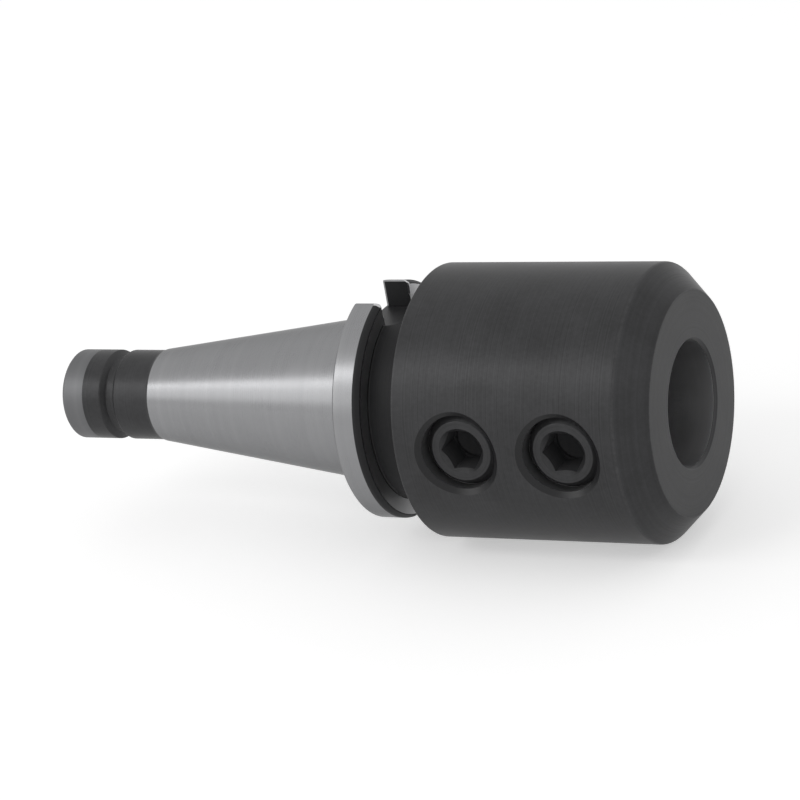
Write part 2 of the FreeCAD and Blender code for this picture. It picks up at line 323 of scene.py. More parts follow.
class Surface(Enum):
    """The finished surfaces, by the names of their materials; some are darker or lighter copies of
    the blackened coat, as painted shade or painted light.
    """

    BLACKENED = "black_oxide"
    # painted shade: a near-black, dull copy of the blackened coat for the recess between flange
    # and body
    NECK_PAINTED_SHADE = "neck_oxide"
    # painted shade: a darker, duller copy of the blackened coat for the end face
    NOSE_PAINTED_SHADE = "nose_oxide"
    # painted shade: a slightly darker copy of the blackened coat for the nose bevel
    BEVEL = "bevel_oxide"
    # painted shade: a near-black copy of the blackened coat for the mouths of the side holes
    MOUTH_PAINTED_SHADE = "mouth_oxide"
    GROUND = "ground_steel"
    FLANGE = "turned_steel"
    PILOT = "pilot_steel"
    TAPPED = "tapped_steel"
    BORE = "honed_steel"
    # painted light: a lighter, matt copy of the screws' blackened coat for their sockets
    SOCKET = "socket_oxide"


class NodeSheet:
    """The node tree of a material while it is being put together."""

    def __init__(self, name: str) -> None:
        """Start a material that holds one Principled shader."""
        self.material = bpy.data.materials.new(name)
        self.material.use_nodes = True
        self.tree = self.material.node_tree
        self.shader = self.tree.nodes["Principled BSDF"]

    def node(self, kind: str, **settings: object) -> bpy.types.Node:
        """Add a node and set its properties."""
        node = self.tree.nodes.new(kind)
        for key, value in settings.items():
            setattr(node, key, value)
        return node

    def feed(self, value: object, socket: Socket) -> None:
        """Link another node's output to a socket, or set the socket to a plain value."""
        if isinstance(value, Socket):
            self.tree.links.new(value, socket)
        else:
            socket.default_value = value

    def shade(self, key: str, value: object) -> None:
        """Feed one socket of the shader."""
        self.feed(value, self.shader.inputs[key])

    def sum(self, operation: str, *values: object) -> Socket:
        """The outcome of a Math node on up to three values."""
        node = self.node("ShaderNodeMath", operation=operation)
        for value, socket in zip(values, node.inputs):
            self.feed(value, socket)
        return node.outputs[0]

    def noise(self, vector: Socket, scale: float, detail: float = 2.0,
              rough: float = 0.5) -> Socket:
        """Cloudy noise over a place, with its scale in turns for each millimetre."""
        node = self.node("ShaderNodeTexNoise", noise_dimensions="3D")
        self.feed(vector, node.inputs["Vector"])
        node.inputs["Scale"].default_value = scale
        node.inputs["Detail"].default_value = detail
        node.inputs["Roughness"].default_value = rough
        return node.outputs["Fac"]

    def streaks(self, reach: Socket, scale: float,
                detail: float = 2.0) -> Socket:
        """Noise over one length only, which makes rings on a turned piece."""
        node = self.node("ShaderNodeTexNoise", noise_dimensions="1D")
        self.feed(reach, node.inputs["W"])
        node.inputs["Scale"].default_value = scale
        node.inputs["Detail"].default_value = detail
        return node.outputs["Fac"]

    def spread(self, value: Socket, low: float, high: float,
               to_low: float = 0.0, to_high: float = 1.0) -> Socket:
        """Map a range of a value to another range, and clamp it there."""
        node = self.node("ShaderNodeMapRange", clamp=True)
        for amount, key in ((value, "Value"), (low, "From Min"), (high, "From Max"),
                            (to_low, "To Min"), (to_high, "To Max")):
            self.feed(amount, node.inputs[key])
        return node.outputs["Result"]

    def blend(self, share: object, first: object, second: object) -> Socket:
        """Mix two colours, given as colours or as other nodes' outputs."""
        node = self.node("ShaderNodeMix", data_type="RGBA")
        self.feed(share, node.inputs["Factor"])
        for value, key in ((first, "A"), (second, "B")):
            socket = next(item for item in node.inputs
                          if item.name == key and item.type == "RGBA")
            self.feed((*value, 1.0) if isinstance(value, tuple) else value, socket)
        return next(item for item in node.outputs if item.type == "RGBA")

    def place(self, centre: Place) -> Socket:
        """The object's own coordinates in millimetres, from a centre."""
        where = self.node("ShaderNodeTexCoord")
        mapping = self.node("ShaderNodeMapping", vector_type="POINT")
        self.feed(where.outputs["Object"], mapping.inputs["Vector"])
        mapping.inputs["Location"].default_value = tuple(-part / MM for part in centre)
        mapping.inputs["Scale"].default_value = (1 / MM, 1 / MM, 1 / MM)
        return mapping.outputs["Vector"]

    def turned(self, place: Socket, axis: Axis) -> tuple[
            Socket, Socket]:
        """Place along the axis of turning, and distance from it, in millimetres."""
        parts = self.node("ShaderNodeSeparateXYZ")
        self.feed(place, parts.inputs["Vector"])
        along, across = ("X", "Y") if axis is Axis.TOOL else ("Y", "X")
        square = self.sum("MULTIPLY", parts.outputs["Z"], parts.outputs["Z"])
        square = self.sum("MULTIPLY_ADD", parts.outputs[across], parts.outputs[across], square)
        return parts.outputs[along], self.sum("SQRT", square)

    def ring_place(self, along: Socket,
                   away: Socket) -> Socket:
        """One length that tells rings apart, on walls along the axis and on faces across it."""
        return self.sum("MULTIPLY_ADD", away, RING_SHIFT, along)

    def rubbed_ring(self, along: Socket, away: Socket,
                    ring: tuple[float, float], mottle: Socket
                    ) -> Socket:
        """Share of bare steel on and near the edge that a ring makes, in patches.

        Args:
            along: place along the axis, in millimetres.
            away: distance from the axis, in millimetres.
            ring: the ring's place on the axis and its radius, in metres.
            mottle: noise that breaks the rubbed line up.
        """
        over = self.sum("SUBTRACT", along, ring[0] / MM)
        up = self.sum("SUBTRACT", away, ring[1] / MM)
        square = self.sum("MULTIPLY_ADD", over, over, self.sum("MULTIPLY", up, up))
        near = self.spread(self.sum("SQRT", square), 0.12, 0.50, to_low=1.0, to_high=0.0)
        patches = self.spread(mottle, 0.30, 0.75, to_low=0.02, to_high=0.12)
        return self.sum("MULTIPLY", near, patches)

    def bump(self, height: Socket, depth: float, strength: float = 1.0) -> None:
        """Raise the surface by a height from 0 to 1 times a depth."""
        node = self.node("ShaderNodeBump")
        node.inputs["Strength"].default_value = strength
        node.inputs["Distance"].default_value = depth
        self.feed(height, node.inputs["Height"])
        self.shade("Normal", node.outputs["Normal"])


@dataclass(frozen=True)
class BlackOxide:
    """Steel blackened in a hot bath, over turning marks.

    Attributes:
        deep: colour where the coat is thick.
        thin: colour where the coat is thin.
        bare: colour of steel where an edge has lost its coat.
        roughness: middle of the coat's roughness.
        gloss: strength of its reflections, 0.5 for a clear oil.
        metal: share of the coat that shines as metal does.
        edge: share of the light that it keeps where it is seen edge on.
        mark_depth: depth of the turning marks.
        axis: axis that the piece was turned about.
        centre: a point on that axis.
        worn: rings whose edge is rubbed, each by its place on the axis and its radius.
    """

    deep: Colour = (0.036, 0.036, 0.037)
    thin: Colour = (0.054, 0.054, 0.056)
    bare: Colour = (0.18, 0.18, 0.185)
    roughness: float = 0.39
    gloss: float = 0.38
    metal: float = 0.5
    edge: float = 0.6
    mark_depth: float = 0.007 * MM
    axis: Axis = Axis.TOOL
    centre: Place = (0.0, 0.0, 0.0)
    worn: tuple[tuple[float, float], ...] = ()

    def material(self, name: str) -> bpy.types.Material:
        """Make the finish as a material."""
        sheet = NodeSheet(name)
        place = sheet.place(self.centre)
        along, away = sheet.turned(place, self.axis)
        reach = sheet.ring_place(along, away)
        clouds = sheet.noise(place, scale=0.09, detail=4.0, rough=0.6)
        mottle = sheet.noise(place, scale=0.9, detail=3.0, rough=0.6)
        grain = sheet.noise(place, scale=3.1, detail=2.0, rough=0.7)
        marks = sheet.streaks(reach, scale=2.6, detail=3.0)
        fine = sheet.streaks(reach, scale=9.0)
        tone = sheet.sum("MULTIPLY_ADD", mottle, 0.35, sheet.sum("MULTIPLY", clouds, 0.65))
        tone = sheet.sum("MULTIPLY_ADD", sheet.sum("SUBTRACT", marks, 0.5), 0.5, tone)
        coat = sheet.blend(sheet.spread(tone, 0.30, 0.70), self.deep, self.thin)
        specks = sheet.spread(grain, 0.72, 0.80)
        coat = sheet.blend(sheet.sum("MULTIPLY", specks, 0.20), coat, self.bare)
        for ring in self.worn:
            rubbed = sheet.rubbed_ring(along, away, ring, mottle)
            coat = sheet.blend(rubbed, coat, self.bare)
        sheet.shade("Base Color", coat)
        rough = sheet.sum("MULTIPLY_ADD", clouds, 0.14, self.roughness - 0.07)
        rough = sheet.sum("MULTIPLY_ADD", sheet.sum("SUBTRACT", fine, 0.5), 0.12, rough)
        sheet.shade("Roughness", rough)
        sheet.shade("Metallic", self.metal)
        sheet.shade("Specular IOR Level", self.gloss)
        sheet.shade("Specular Tint", (self.edge, self.edge, self.edge, 1.0))
        height = sheet.sum("MULTIPLY_ADD", fine, 0.4, sheet.sum("MULTIPLY", marks, 0.6))
        height = sheet.sum("MULTIPLY_ADD", mottle, 0.15, height)
        sheet.bump(height, self.mark_depth)
        return sheet.material


@dataclass(frozen=True)
class GroundSteel:
    """Bare steel ground on centres, with rings of fine grinding marks.

    Attributes:
        dull: colour of the duller rings.
        bright: colour of the brighter rings.
        roughness: middle of the surface's roughness.
        edge: share of the light that it keeps where it is seen edge on.
        mark_depth: depth of the grinding marks.
    """

    dull: Colour = (0.232, 0.233, 0.239)
    bright: Colour = (0.272, 0.273, 0.279)
    roughness: float = 0.29
    edge: float = 0.6
    mark_depth: float = 0.002 * MM

    def material(self, name: str) -> bpy.types.Material:
        """Make the finish as a material."""
        sheet = NodeSheet(name)
        place = sheet.place((0.0, 0.0, 0.0))
        along, away = sheet.turned(place, Axis.TOOL)
        reach = sheet.ring_place(along, away)
        passes = sheet.streaks(reach, scale=0.35)
        fine = sheet.streaks(reach, scale=11.0)
        clouds = sheet.noise(place, scale=0.12, detail=3.0, rough=0.55)
        tone = sheet.sum("MULTIPLY_ADD", fine, 0.45, sheet.sum("MULTIPLY", passes, 0.30))
        tone = sheet.sum("MULTIPLY_ADD", clouds, 0.25, tone)
        steel = sheet.blend(sheet.spread(tone, 0.32, 0.68), self.dull, self.bright)
        sheet.shade("Base Color", steel)
        sheet.shade("Metallic", 1.0)
        sheet.shade("Specular Tint", (self.edge, self.edge, self.edge, 1.0))
        rough = sheet.sum("MULTIPLY_ADD", clouds, 0.10, self.roughness - 0.05)
        rough = sheet.sum("MULTIPLY_ADD", sheet.sum("SUBTRACT", fine, 0.5), 0.10, rough)
        sheet.shade("Roughness", rough)
        height = sheet.sum("MULTIPLY_ADD", fine, 0.8, sheet.sum("MULTIPLY", clouds, 0.2))
        sheet.bump(height, self.mark_depth)
        return sheet.material


# The object


@dataclass
class HolderBody:
    """The one-piece holder: pilot, steep taper, driving flange, neck, body and bore.

    Every place on the axis is counted from the gauge plane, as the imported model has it.

    Attributes:
        overreach: how far a cutting tool goes past the surface that it cuts through.
        tool_lap: how far within a wall the tool that bevels its edge begins.
        skin: what is nearer to a surface than this lies on it.
    """

    gauge_radius: float = 22.225 * MM
    taper_length: float = 65.4 * MM
    taper_slope: float = 7 / 24 / 2
    taper_end_break: float = 0.2 * MM
    taper_end_drop: float = 0.1 * MM
    pilot_radius: float = 12.3 * MM
    pilot_chamfer: float = 1.0 * MM
    pilot_land: float = 7.0 * MM
    groove_from_end: float = 14.8 * MM
    groove_mouth: float = 4.6 * MM
    groove_floor: float = 2.2 * MM
    groove_depth: float = 1.8 * MM
    drawbar_depth: float = 44.0 * MM
    counterbore_radius: float = 8.5 * MM
    counterbore_depth: float = 5.0 * MM
    centre_chamfer: float = 1.0 * MM
    drill_point_slope: float = 0.6
    flange_setback: float = 1.6 * MM
    relief_depth: float = 0.7 * MM
    flange_radius: float = 31.5 * MM
    flange_thickness: float = 7.8 * MM
    flange_edge: float = 0.4 * MM
    flange_land: float = 5.9 * MM
    flange_front_bevel: float = 1.2 * MM
    flange_front_drop: float = 0.8 * MM
    slot_width: float = 16.1 * MM
    slot_floor_height: float = 23.0 * MM
    slot_rim_break: float = 0.35 * MM
    slot_end_break: float = 0.9 * MM
    slot_neck_break: float = 0.8 * MM
    neck_radius: float = 26.0 * MM
    neck_fillet: float = 0.5 * MM
    neck_length: float = 9.4 * MM
    rear_bevel_length: float = 2.2 * MM
    rear_bevel_drop: float = 5.0 * MM
    nose_bevel: float = 7.0 * MM
    bore_radius: float = 16.0 * MM
    bore_bottom: float = 25.6 * MM
    bore_mouth_chamfer: float = 0.8 * MM
    bore_relief_width: float = 3.0 * MM
    bore_relief_depth: float = 0.4 * MM
    hole_radius: float = 10.05 * MM
    hole_mouth_radius: float = 11.4 * MM
    hole_step: float = 30.2 * MM
    hole_thread_start: float = 13.0 * MM
    hole_thread_turns: int = 10
    drawbar_thread_turns: int = 20
    edge_round: float = 0.25 * MM
    overreach: float = 2 * MM
    tool_lap: float = 0.2 * MM
    skin: float = 0.02 * MM
    steps: int = 256
    slot_steps: int = 96
    tool_steps: int = 128

    def __post_init__(self) -> None:
        """Take the ends, the outside and the places of the screws from the frame."""
        low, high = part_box("holder_body")
        self.shank_end = low.x
        self.nose = high.x
        self.body_radius = high.z
        self.flange_front = self.flange_setback + self.flange_thickness
        self.body_back = self.flange_front + self.neck_length
        self.land_end = self.shank_end + self.pilot_land
        self.rim_land_end = self.flange_setback + self.flange_land
        self.drawbar = Thread(crest=8.0 * MM, root=6.9 * MM, pitch=2.0 * MM, flat=0.3 * MM)
        self.side_thread = Thread(crest=10.0 * MM, root=8.92 * MM, pitch=2.0 * MM,
                                  flat=0.25 * MM)

    def outline(self) -> list[Corner]:
        """Half of the turned outline, from the drill point in the pilot to that in the bore."""
        fine = self.edge_round
        core = self.drawbar.root
        drawbar_end = self.shank_end + self.drawbar_depth
        drawbar_mouth = self.shank_end + self.counterbore_depth
        mouth = self.counterbore_radius
        groove = self.shank_end + self.groove_from_end
        half_mouth = self.groove_mouth / 2
        half_floor = self.groove_floor / 2
        relief = self.gauge_radius - self.relief_depth
        small_end = self.gauge_radius - self.taper_length * self.taper_slope
        wall = self.bore_radius
        bottom = self.bore_bottom
        undercut = wall + self.bore_relief_depth
        return [
            Corner(drawbar_end + core * self.drill_point_slope, 0.0),
            Corner(drawbar_end, core),
            Corner(drawbar_mouth + mouth - core, core),
            Corner(drawbar_mouth, mouth),
            Corner(self.shank_end + self.centre_chamfer, mouth),
            Corner(self.shank_end, mouth + self.centre_chamfer, fine / 2),
            Corner(self.shank_end, self.pilot_radius - self.pilot_chamfer, fine),
            Corner(self.shank_end + self.pilot_chamfer, self.pilot_radius, fine),
            Corner(self.land_end, self.pilot_radius),
            Corner(groove - half_mouth, self.pilot_radius, fine),
            Corner(groove - half_floor, self.pilot_radius - self.groove_depth, fine),
            Corner(groove + half_floor, self.pilot_radius - self.groove_depth, fine),
            Corner(groove + half_mouth, self.pilot_radius, fine),
            Corner(-self.taper_length - self.pilot_chamfer, self.pilot_radius),
            Corner(-self.taper_length, small_end - self.taper_end_drop),
            Corner(-self.taper_length + self.taper_end_break,
                   small_end + self.taper_end_break * self.taper_slope),
            Corner(0.0, self.gauge_radius, fine),
            Corner(0.0, relief, fine),
            Corner(self.flange_setback, relief, fine),
            Corner(self.flange_setback, self.flange_radius - self.flange_edge, fine / 2),
            Corner(self.flange_setback + self.flange_edge, self.flange_radius, fine / 2),
            Corner(self.rim_land_end, self.flange_radius),
            Corner(self.flange_front - self.flange_front_bevel, self.flange_radius, fine),
            Corner(self.flange_front, self.flange_radius - self.flange_front_drop, fine),
            Corner(self.flange_front, self.neck_radius, self.neck_fillet),
            Corner(self.body_back, self.neck_radius, self.neck_fillet),
            Corner(self.body_back, self.body_radius - self.rear_bevel_drop, fine),
            Corner(self.body_back + self.rear_bevel_length, self.body_radius, fine),
            Corner(self.nose - self.nose_bevel, self.body_radius, 2 * fine),
            Corner(self.nose, self.body_radius - self.nose_bevel, fine),
            Corner(self.nose, wall + self.bore_mouth_chamfer, fine / 2),
            Corner(self.nose - self.bore_mouth_chamfer, wall, fine / 2),
            Corner(bottom + self.bore_relief_width, wall),
            Corner(bottom + self.bore_relief_width, undercut),
            Corner(bottom, undercut),
            Corner(bottom, wall),
            Corner(bottom - wall * self.drill_point_slope, 0.0),
        ]

    def slot_tool(self, side: int) -> Piece:
        """The cutter's path through the flange on one side, with its round end in the neck."""
        half = self.slot_width / 2
        height = 2 * (self.flange_radius - self.slot_floor_height)
        clear_selection()
        bpy.ops.mesh.primitive_cylinder_add(
            vertices=self.slot_steps, radius=half, depth=height,
            location=(self.flange_front, 0.0, side * (self.slot_floor_height + height / 2)))
        tool = new_piece("slot_tool")
        with editing(tool):
            bpy.ops.mesh.select_all(action="SELECT")
            bpy.ops.mesh.bisect(plane_co=(self.flange_front, 0, 0), plane_no=(1, 0, 0),
                                clear_inner=True, use_fill=True)
            bpy.ops.mesh.extrude_region_move(
                TRANSFORM_OT_translate={"value": (-2 * self.flange_thickness, 0, 0)})
            bpy.ops.mesh.select_all(action="SELECT")
            bpy.ops.mesh.normals_make_consistent(inside=False)
        return tool

    def slot_breakers(self, side: int) -> list[Piece]:
        """The tools that break the slot's long edges, at the rim, the back and the front."""
        half = self.slot_width / 2
        rim_break = self.slot_rim_break
        end_break = self.slot_end_break
        over = self.overreach
        rim = math.sqrt(self.flange_radius ** 2 - half ** 2)
        back = self.flange_setback
        front = self.flange_front
        tools = []
        for first, last, foot, top, end, reach in (
                (back - over, front + over, rim - rim_break, rim + over, 3 * side, rim_break),
                (back - over, back + end_break, self.slot_floor_height, rim + 2 * over, -1,
                 end_break),
                (front - rim_break, front + over, self.neck_radius + self.neck_fillet,
                 rim + 2 * over, 1, rim_break)):
            low, high = sorted((side * foot, side * top))
            tools.append(flared_box((first, -half, low), (last, half, high), end, reach + over))
        return tools

    def neck_breaker(self, side: int) -> Piece:
        """The tool that breaks the edge of a slot's round end, where it meets the round neck."""
        inner = self.slot_width / 2 - self.tool_lap
        reach = self.slot_neck_break + self.tool_lap
        depth = reach + self.overreach
        base = self.neck_radius - reach
        clear_selection()
        bpy.ops.mesh.primitive_cone_add(vertices=self.tool_steps, radius1=inner,
                                        radius2=inner + depth, depth=depth,
                                        location=(self.flange_front, 0, base + depth / 2))
        tool = new_piece("neck_breaker")
        for corner in tool.data.vertices:
            corner.co.z -= self.neck_radius - math.sqrt(self.neck_radius ** 2 - corner.co.y ** 2)
            corner.co.z *= side
        with editing(tool):
            bpy.ops.mesh.select_all(action="SELECT")
            bpy.ops.mesh.bisect(plane_co=(self.flange_front + self.skin, 0, 0),
                                plane_no=(1, 0, 0), clear_inner=True, use_fill=True)
            bpy.ops.mesh.select_all(action="SELECT")
            bpy.ops.mesh.normals_make_consistent(inside=False)
        return tool

    def drill_side_hole(self, body: Piece, along: float) -> None:
        """Drill, counterbore, countersink and tap the hole of one clamping screw."""
        thread = self.side_thread
        beyond = self.body_radius + self.overreach
        step = self.hole_step
        drill = turn("side_drill", [
            Corner(0.0, 0.0),
            Corner(0.0, thread.root),
            Corner(step - (self.hole_radius - thread.root), thread.root),
            Corner(step, self.hole_radius),
            Corner(beyond, self.hole_radius),
            Corner(beyond, 0.0),
        ], self.tool_steps)
        groove = thread.groove(self.hole_thread_start, self.hole_thread_turns, internal=True)
        for tool in (drill, groove):
            face_sideways(tool, along)
        cut(body, drill)
        cut(body, self.countersink(along))
        cut(body, groove)

    def countersink(self, along: float) -> Piece:
        """The tool for a bevel of even width where a side hole meets the round outside."""
        inner = self.hole_radius - self.tool_lap
        outer = self.hole_mouth_radius + self.overreach
        depth = outer - inner
        base = self.body_radius - (self.hole_mouth_radius - inner)
        clear_selection()
        bpy.ops.mesh.primitive_cone_add(vertices=self.tool_steps, radius1=inner, radius2=outer,
                                        depth=depth, location=(along, -(base + depth / 2), 0),
                                        rotation=(math.pi / 2, 0, 0))
        tool = new_piece("countersink")
        for corner in tool.data.vertices:
            height = min(abs(corner.co.z), self.body_radius)
            corner.co.y += self.body_radius - math.sqrt(self.body_radius ** 2 - height ** 2)
        return tool

    def surface_at(self, centre: Vector) -> Surface:
        """The finish of the surface that a face belongs to, from the face's middle."""
        away = off_axis(centre)
        half = self.slot_width / 2
        beside = abs(centre.y) - half
        in_flange = self.flange_setback < centre.x < self.flange_front
        on_break = (in_flange and self.skin < beside < self.slot_end_break and
                    abs(centre.z) > self.slot_floor_height)
        on_taper = -self.taper_length < centre.x < 0 and away > self.pilot_radius
        on_rim = (self.flange_setback < centre.x < self.rim_land_end and
                  away > self.flange_radius - self.flange_edge)
        on_front = (abs(centre.x - self.flange_front) < TOUCH and
                    away > self.neck_radius + self.neck_fillet)
        if on_front or (on_break and centre.x > self.rim_land_end):
            return Surface.FLANGE
        if on_break or on_taper or on_rim:
            return Surface.GROUND
        # painted shade: the end face takes a darker copy of the coat
        if abs(centre.x - self.nose) < TOUCH:
            return Surface.NOSE_PAINTED_SHADE
        # painted shade: the nose bevel takes a slightly darker copy of the coat
        if (centre.x > self.nose - self.nose_bevel + self.edge_round and
                away > self.body_radius - self.nose_bevel):
            return Surface.BEVEL
        from_hole = min(math.hypot(centre.x - along, centre.z) for along in self.holes)
        if centre.y < -self.bore_radius and from_hole < self.hole_radius + TOUCH:
            return Surface.TAPPED
        # painted shade: the bevelled mouths of the side holes take a near-black copy of the coat
        if (centre.y < 0 and from_hole < self.hole_mouth_radius and
                self.bore_radius < away < self.body_radius - self.skin):
            return Surface.MOUTH_PAINTED_SHADE
        if centre.x < self.land_end and away > self.pilot_radius - self.pilot_chamfer:
            return Surface.PILOT
        if (0 < centre.x < self.nose - self.bore_mouth_chamfer - self.edge_round / 5 and
                away < self.bore_radius + self.bore_relief_depth + TOUCH):
            return Surface.BORE
        # painted shade: the flange's front bevel, the neck, its fillets and the body's back face
        # take the near-black copy of the coat
        if (self.rim_land_end < centre.x < self.body_back + TOUCH and
                away > self.neck_radius - TOUCH):
            return Surface.NECK_PAINTED_SHADE
        return Surface.BLACKENED

    def finishes(self) -> dict[Surface, object]:
        """The finish of each kind of surface, with darker copies of the blackened coat as painted
        shade on the neck, the end face, the nose bevel and the hole mouths.
        """
        body = self.body_radius
        nose = self.nose
        back = self.body_back + self.rear_bevel_length
        return {
            Surface.BLACKENED: BlackOxide(worn=((back, body), (nose - self.nose_bevel, body),
                                                (nose, body - self.nose_bevel))),
            # painted shade: near-black, dull copy of the blackened coat for the recess between
            # flange and body
            Surface.NECK_PAINTED_SHADE: BlackOxide(deep=(0.009, 0.009, 0.010), thin=(0.016, 0.016, 0.017),
                                     roughness=0.55, gloss=0.25, metal=0.0, edge=1.0),
            # painted shade: darker, duller copy of the blackened coat for the end face
            Surface.NOSE_PAINTED_SHADE: BlackOxide(deep=(0.016, 0.016, 0.017), thin=(0.027, 0.027, 0.029),
                                     roughness=0.46, gloss=0.27, metal=0.0, edge=1.0),
            # painted shade: slightly darker copy of the blackened coat for the nose bevel
            Surface.BEVEL: BlackOxide(deep=(0.032, 0.032, 0.033), thin=(0.047, 0.047, 0.049)),
            # painted shade: near-black copy of the blackened coat for the side holes' mouths
            Surface.MOUTH_PAINTED_SHADE: BlackOxide(deep=(0.004, 0.004, 0.005), thin=(0.008, 0.008, 0.009),
                                      roughness=0.34, gloss=0.34, metal=0.0, edge=1.0),
            Surface.GROUND: GroundSteel(),
            Surface.FLANGE: GroundSteel(dull=(0.460, 0.460, 0.468), bright=(0.540, 0.540, 0.548),
                                        roughness=0.36, edge=1.0),
            Surface.PILOT: GroundSteel(dull=(0.135, 0.136, 0.140), bright=(0.168, 0.169, 0.173),
                                       roughness=0.52, edge=0.9),
            Surface.TAPPED: GroundSteel(dull=(0.190, 0.190, 0.195), bright=(0.240, 0.240, 0.245),
                                        roughness=0.52, edge=0.6),
            Surface.BORE: GroundSteel(dull=(0.380, 0.380, 0.388), bright=(0.460, 0.460, 0.468),
                                      roughness=0.41),
        }

    def build(self, screw_places: list[float]) -> Piece:
        """Make the holder, dress it and let it stand for its CAD node.

        Args:
            screw_places: places on the tool's axis of the clamping screws.

        Returns:
            The finished piece.
        """
        self.holes = screw_places
        body = turn("holder_steel", self.outline(), self.steps)
        for side in (1, -1):
            cut(body, self.slot_tool(side))
            for tool in self.slot_breakers(side):
                cut(body, tool)
            cut(body, self.neck_breaker(side))
        for along in screw_places:
            self.drill_side_hole(body, along)
        thread_start = self.shank_end + self.counterbore_depth - self.overreach
        cut(body, self.drawbar.groove(thread_start, self.drawbar_thread_turns, internal=True))
        smooth(body)
        body.data.materials.clear()
        finishes = self.finishes()
        for surface, finish in finishes.items():
            body.data.materials.append(finish.material(surface.value))
        order = list(finishes)
        for face in body.data.polygons:
            face.material_index = order.index(self.surface_at(face.center))
        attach(body, "holder")
        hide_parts("holder_body")
        return body


@dataclass
class ClampScrews:
    """The clamping screws with hexagon sockets: one is made, and each node gets a copy.

    The screw is built about X with its tip towards the bore, and places along it are distances
    from the tool's axis.

    Attributes:
        bodies: the moving body of each screw, by the CAD node that the screw replaces.
        thread_lead: whole turns of the threading tool before the tip.
    """

    bodies: dict[str, str]
    tip_radius: float = 7.2 * MM
    tip_bevel: float = 1.6 * MM
    head_bevel: float = 1.9 * MM
    hexagon_width: float = 10.0 * MM
    socket_floor: float = 4.0 * MM
    broach_setback: float = 1.0 * MM
    socket_countersink: float = 0.35 * MM
    drill_point_slope: float = 0.6
    edge_round: float = 0.15 * MM
    overreach: float = 1 * MM
    thread_lead: int = 3
    thread_turns: int = 14
    steps: int = 128
    tool_steps: int = 96

    def __post_init__(self) -> None:
        """Take the places, the length and the outside of the screws from the frame."""
        self.places = {}
        for node in self.bodies:
            low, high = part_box(node)
            self.places[node] = (low.x + high.x) / 2
        self.tip = -high.y
        self.head = -low.y
        crest = (high.x - low.x) / 2
        self.thread = Thread(crest=crest, root=crest - 1.13 * MM, pitch=2.0 * MM,
                             flat=0.3 * MM)

    def outline(self) -> list[Corner]:
        """Half of the screw's outline, from the tip to the head."""
        crest = self.thread.crest
        return [
            Corner(self.tip, 0.0),
            Corner(self.tip, self.tip_radius, self.edge_round),
            Corner(self.tip + self.tip_bevel, crest),
            Corner(self.head - self.head_bevel, crest),
            Corner(self.head, crest - self.head_bevel, self.edge_round),
            Corner(self.head, 0.0),
        ]

    def socket_drill(self) -> Piece:
        """The drill and countersink that start the socket."""
        drill = self.hexagon_width / 2
        floor = self.tip + self.socket_floor
        mouth = self.hexagon_width / math.sqrt(3) + self.socket_countersink
        above = self.overreach
        return turn("socket_drill", [
            Corner(floor, 0.0),
            Corner(floor + drill * self.drill_point_slope, drill),
            Corner(self.head - (mouth - drill), drill),
            Corner(self.head + above, mouth + above),
            Corner(self.head + above, 0.0),
        ], self.tool_steps)

    def broach(self) -> Piece:
        """The broach that cuts the hexagon, with two corners along the tool's axis."""
        drill = self.hexagon_width / 2
        floor = self.tip + self.socket_floor + drill * self.drill_point_slope
        floor += self.broach_setback
        length = self.head - floor + self.overreach
        clear_selection()
        bpy.ops.mesh.primitive_cylinder_add(
            vertices=6, radius=self.hexagon_width / math.sqrt(3), depth=length,
            location=(floor + length / 2, 0, 0), rotation=(0, math.pi / 2, 0))
        return new_piece("broach")

    def in_socket(self, face: bpy.types.MeshPolygon) -> bool:
        """Whether a face of the screw, still about X, is a wall or the floor of its socket."""
        wall = abs(face.normal.x) < 0.1 or face.center.x < self.head - self.head_bevel
        return (wall and off_axis(face.center) < self.hexagon_width / math.sqrt(3) and
                face.center.x > self.tip + self.edge_round)

    def model(self) -> Piece:
        """Make the first screw, about X, with its socket's faces told apart."""
        screw = turn("screw_model", self.outline(), self.steps)
        cut(screw, self.socket_drill())
        cut(screw, self.broach())
        pitch = self.thread.pitch
        start = pitch * math.floor(self.tip / pitch) - self.thread_lead * pitch
        cut(screw, self.thread.groove(start, self.thread_turns, internal=False))
        smooth(screw)
        screw.data.materials.clear()
        for _ in range(2):
            screw.data.materials.append(None)
        for face in screw.data.polygons:
            face.material_index = int(self.in_socket(face))
        return screw

    def fit(self, model: Piece, node: str) -> Piece:
        """Copy the screw into its hole, dress it and let it stand for its CAD node.

        Args:
            model: the screw about X.
            node: the CAD node that the copy replaces.

        Returns:
            The copy, with its own mesh.
        """
        along = self.places[node]
        body = self.bodies[node]
        screw = model.copy()
        screw.data = model.data.copy()
        bpy.context.scene.collection.objects.link(screw)
        screw.name = node.replace("clamp_screw", "threaded_screw")
        screw.data.name = screw.name
        face_sideways(screw, along)
        about = {"axis": Axis.SCREW, "centre": (along, 0.0, 0.0)}
        head = BlackOxide(roughness=0.36, mark_depth=0.006 * MM, **about)
        # painted light: the socket's walls and floor get a lighter, matt copy of the head's coat,
        # as if light reached into it
        socket = BlackOxide(deep=(0.038, 0.038, 0.040), thin=(0.065, 0.065, 0.067),
                            roughness=0.60, gloss=0.22, metal=0.0, mark_depth=0.004 * MM,
                            **about)
        screw.data.materials[0] = head.material("{}_oxide".format(body))
        screw.data.materials[1] = socket.material("{}_{}".format(body, Surface.SOCKET.value))
        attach(screw, body)
        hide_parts(node)
        return screw

    def build(self) -> list[Piece]:
        """Make every screw."""
        model = self.model()
        screws = [self.fit(model, node) for node in self.bodies]
        bpy.data.objects.remove(model, do_unlink=True)
        return screws


# The studio


